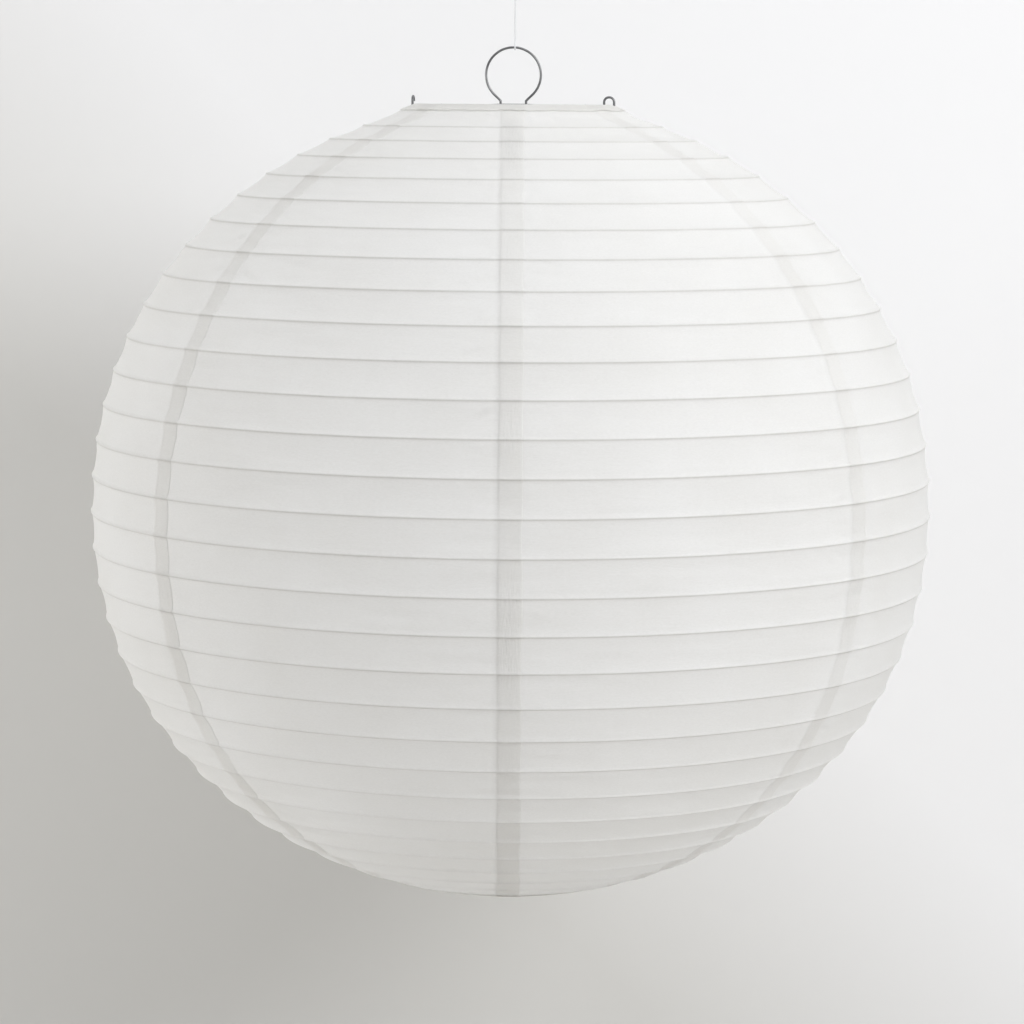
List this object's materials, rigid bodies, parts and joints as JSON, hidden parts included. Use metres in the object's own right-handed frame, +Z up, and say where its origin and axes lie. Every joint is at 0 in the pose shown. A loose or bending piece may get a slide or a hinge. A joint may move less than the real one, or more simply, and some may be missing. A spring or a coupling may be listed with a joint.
{
  "type": "paper lantern",
  "caption": "Round white paper lantern with evenly spaced wire hoops, glued paper gores and a sprung wire expander with a hanging loop.",
  "frame": {"origin": "the hanging point: the inner top of the wire loop, where the line carries the lantern", "axes": "+Z up along the lantern's axis; the expander's arms, legs and hooks lie in the XZ plane; -Y is the front, +X the viewer's right"},
  "size_m": [0.9144, 0.9147, 0.9811],
  "materials": {
    "white_paper": "thin white translucent paper with fine creases, double along the glued laps",
    "hoop_wire": "thin white-coated steel wire, hidden under the paper ridges",
    "ring_wire": "white-coated steel wire",
    "frame_wire": "drawn grey steel spring wire, lightly reflective",
    "nylon_line": "clear to white nylon line"
  },
  "bodies": {
    "lantern_top": {"top_ring": "ring_wire", "paper_gore_1": "white_paper", "paper_gore_2": "white_paper", "paper_gore_3": "white_paper", "paper_gore_4": "white_paper", "paper_gore_5": "white_paper", "paper_gore_6": "white_paper", "paper_gore_7": "white_paper", "top_hem": "white_paper", "bottom_hem": "white_paper"},
    "hoop_01": {"rib_hoop_01": "hoop_wire"},
    "hoop_02": {"rib_hoop_02": "hoop_wire"},
    "hoop_03": {"rib_hoop_03": "hoop_wire"},
    "hoop_04": {"rib_hoop_04": "hoop_wire"},
    "hoop_05": {"rib_hoop_05": "hoop_wire"},
    "hoop_06": {"rib_hoop_06": "hoop_wire"},
    "hoop_07": {"rib_hoop_07": "hoop_wire"},
    "hoop_08": {"rib_hoop_08": "hoop_wire"},
    "hoop_09": {"rib_hoop_09": "hoop_wire"},
    "hoop_10": {"rib_hoop_10": "hoop_wire"},
    "hoop_11": {"rib_hoop_11": "hoop_wire"},
    "hoop_12": {"rib_hoop_12": "hoop_wire"},
    "hoop_13": {"rib_hoop_13": "hoop_wire"},
    "hoop_14": {"rib_hoop_14": "hoop_wire"},
    "hoop_15": {"rib_hoop_15": "hoop_wire"},
    "hoop_16": {"rib_hoop_16": "hoop_wire"},
    "hoop_17": {"rib_hoop_17": "hoop_wire"},
    "hoop_18": {"rib_hoop_18": "hoop_wire"},
    "hoop_19": {"rib_hoop_19": "hoop_wire"},
    "hoop_20": {"rib_hoop_20": "hoop_wire"},
    "hoop_21": {"rib_hoop_21": "hoop_wire"},
    "hoop_22": {"rib_hoop_22": "hoop_wire"},
    "hoop_23": {"rib_hoop_23": "hoop_wire"},
    "hoop_24": {"rib_hoop_24": "hoop_wire"},
    "hoop_25": {"rib_hoop_25": "hoop_wire"},
    "hoop_26": {"rib_hoop_26": "hoop_wire"},
    "hoop_27": {"rib_hoop_27": "hoop_wire"},
    "hoop_28": {"rib_hoop_28": "hoop_wire"},
    "hoop_29": {"rib_hoop_29": "hoop_wire"},
    "bottom_end": {"bottom_ring": "ring_wire"},
    "expander": {"hanger_bar": "frame_wire", "hanging_loop": "frame_wire", "leg_left": "frame_wire", "leg_right": "frame_wire", "lower_brace": "frame_wire", "line_hitch": "nylon_line", "hanging_line": "nylon_line", "line_end_knot": "nylon_line"}
  },
  "joints": [
    {"name": "lantern_fold", "type": "slide", "parent": "lantern_top", "child": "bottom_end", "axis": [0, 0, 1], "range_m": [0, 0.7865], "deforming": ["paper_gore_1", "paper_gore_2", "paper_gore_3", "paper_gore_4", "paper_gore_5", "paper_gore_6", "paper_gore_7", "top_hem", "bottom_hem"]},
    {"name": "hoop_01_rise", "type": "slide", "parent": "lantern_top", "child": "hoop_01", "axis": [0, 0, 1], "range_m": [0, 0.0205]},
    {"name": "hoop_02_rise", "type": "slide", "parent": "lantern_top", "child": "hoop_02", "axis": [0, 0, 1], "range_m": [0, 0.0339]},
    {"name": "hoop_03_rise", "type": "slide", "parent": "lantern_top", "child": "hoop_03", "axis": [0, 0, 1], "range_m": [0, 0.0501]},
    {"name": "hoop_04_rise", "type": "slide", "parent": "lantern_top", "child": "hoop_04", "axis": [0, 0, 1], "range_m": [0, 0.0689]},
    {"name": "hoop_05_rise", "type": "slide", "parent": "lantern_top", "child": "hoop_05", "axis": [0, 0, 1], "range_m": [0, 0.0904]},
    {"name": "hoop_06_rise", "type": "slide", "parent": "lantern_top", "child": "hoop_06", "axis": [0, 0, 1], "range_m": [0, 0.1143]},
    {"name": "hoop_07_rise", "type": "slide", "parent": "lantern_top", "child": "hoop_07", "axis": [0, 0, 1], "range_m": [0, 0.1405]},
    {"name": "hoop_08_rise", "type": "slide", "parent": "lantern_top", "child": "hoop_08", "axis": [0, 0, 1], "range_m": [0, 0.1689]},
    {"name": "hoop_09_rise", "type": "slide", "parent": "lantern_top", "child": "hoop_09", "axis": [0, 0, 1], "range_m": [0, 0.1994]},
    {"name": "hoop_10_rise", "type": "slide", "parent": "lantern_top", "child": "hoop_10", "axis": [0, 0, 1], "range_m": [0, 0.2314]},
    {"name": "hoop_11_rise", "type": "slide", "parent": "lantern_top", "child": "hoop_11", "axis": [0, 0, 1], "range_m": [0, 0.265]},
    {"name": "hoop_12_rise", "type": "slide", "parent": "lantern_top", "child": "hoop_12", "axis": [0, 0, 1], "range_m": [0, 0.2997]},
    {"name": "hoop_13_rise", "type": "slide", "parent": "lantern_top", "child": "hoop_13", "axis": [0, 0, 1], "range_m": [0, 0.3351]},
    {"name": "hoop_14_rise", "type": "slide", "parent": "lantern_top", "child": "hoop_14", "axis": [0, 0, 1], "range_m": [0, 0.371]},
    {"name": "hoop_15_rise", "type": "slide", "parent": "lantern_top", "child": "hoop_15", "axis": [0, 0, 1], "range_m": [0, 0.4072]},
    {"name": "hoop_16_rise", "type": "slide", "parent": "lantern_top", "child": "hoop_16", "axis": [0, 0, 1], "range_m": [0, 0.4435]},
    {"name": "hoop_17_rise", "type": "slide", "parent": "lantern_top", "child": "hoop_17", "axis": [0, 0, 1], "range_m": [0, 0.4793]},
    {"name": "hoop_18_rise", "type": "slide", "parent": "lantern_top", "child": "hoop_18", "axis": [0, 0, 1], "range_m": [0, 0.5146]},
    {"name": "hoop_19_rise", "type": "slide", "parent": "lantern_top", "child": "hoop_19", "axis": [0, 0, 1], "range_m": [0, 0.5489]},
    {"name": "hoop_20_rise", "type": "slide", "parent": "lantern_top", "child": "hoop_20", "axis": [0, 0, 1], "range_m": [0, 0.5817]},
    {"name": "hoop_21_rise", "type": "slide", "parent": "lantern_top", "child": "hoop_21", "axis": [0, 0, 1], "range_m": [0, 0.613]},
    {"name": "hoop_22_rise", "type": "slide", "parent": "lantern_top", "child": "hoop_22", "axis": [0, 0, 1], "range_m": [0, 0.6424]},
    {"name": "hoop_23_rise", "type": "slide", "parent": "lantern_top", "child": "hoop_23", "axis": [0, 0, 1], "range_m": [0, 0.6695]},
    {"name": "hoop_24_rise", "type": "slide", "parent": "lantern_top", "child": "hoop_24", "axis": [0, 0, 1], "range_m": [0, 0.6943]},
    {"name": "hoop_25_rise", "type": "slide", "parent": "lantern_top", "child": "hoop_25", "axis": [0, 0, 1], "range_m": [0, 0.7165]},
    {"name": "hoop_26_rise", "type": "slide", "parent": "lantern_top", "child": "hoop_26", "axis": [0, 0, 1], "range_m": [0, 0.736]},
    {"name": "hoop_27_rise", "type": "slide", "parent": "lantern_top", "child": "hoop_27", "axis": [0, 0, 1], "range_m": [0, 0.753]},
    {"name": "hoop_28_rise", "type": "slide", "parent": "lantern_top", "child": "hoop_28", "axis": [0, 0, 1], "range_m": [0, 0.7672]},
    {"name": "hoop_29_rise", "type": "slide", "parent": "lantern_top", "child": "hoop_29", "axis": [0, 0, 1], "range_m": [0, 0.7787]},
    {"name": "expander_lift", "type": "slide", "parent": "lantern_top", "child": "expander", "axis": [0, 0, 1], "range_m": [0, 0.95]}
  ],
  "couplings": [
    {"joint": "hoop_01_rise", "follows": "lantern_fold", "ratio": 0.02579},
    {"joint": "hoop_02_rise", "follows": "lantern_fold", "ratio": 0.0429},
    {"joint": "hoop_03_rise", "follows": "lantern_fold", "ratio": 0.06339},
    {"joint": "hoop_04_rise", "follows": "lantern_fold", "ratio": 0.08734},
    {"joint": "hoop_05_rise", "follows": "lantern_fold", "ratio": 0.11466},
    {"joint": "hoop_06_rise", "follows": "lantern_fold", "ratio": 0.14501},
    {"joint": "hoop_07_rise", "follows": "lantern_fold", "ratio": 0.17843},
    {"joint": "hoop_08_rise", "follows": "lantern_fold", "ratio": 0.21451},
    {"joint": "hoop_09_rise", "follows": "lantern_fold", "ratio": 0.25329},
    {"joint": "hoop_10_rise", "follows": "lantern_fold", "ratio": 0.294},
    {"joint": "hoop_11_rise", "follows": "lantern_fold", "ratio": 0.33666},
    {"joint": "hoop_12_rise", "follows": "lantern_fold", "ratio": 0.38076},
    {"joint": "hoop_13_rise", "follows": "lantern_fold", "ratio": 0.42579},
    {"joint": "hoop_14_rise", "follows": "lantern_fold", "ratio": 0.47143},
    {"joint": "hoop_15_rise", "follows": "lantern_fold", "ratio": 0.51744},
    {"joint": "hoop_16_rise", "follows": "lantern_fold", "ratio": 0.56368},
    {"joint": "hoop_17_rise", "follows": "lantern_fold", "ratio": 0.6091},
    {"joint": "hoop_18_rise", "follows": "lantern_fold", "ratio": 0.65403},
    {"joint": "hoop_19_rise", "follows": "lantern_fold", "ratio": 0.69759},
    {"joint": "hoop_20_rise", "follows": "lantern_fold", "ratio": 0.73939},
    {"joint": "hoop_21_rise", "follows": "lantern_fold", "ratio": 0.77921},
    {"joint": "hoop_22_rise", "follows": "lantern_fold", "ratio": 0.81658},
    {"joint": "hoop_23_rise", "follows": "lantern_fold", "ratio": 0.85104},
    {"joint": "hoop_24_rise", "follows": "lantern_fold", "ratio": 0.88246},
    {"joint": "hoop_25_rise", "follows": "lantern_fold", "ratio": 0.91071},
    {"joint": "hoop_26_rise", "follows": "lantern_fold", "ratio": 0.9355},
    {"joint": "hoop_27_rise", "follows": "lantern_fold", "ratio": 0.95712},
    {"joint": "hoop_28_rise", "follows": "lantern_fold", "ratio": 0.97518},
    {"joint": "hoop_29_rise", "follows": "lantern_fold", "ratio": 0.98982}
  ]
}
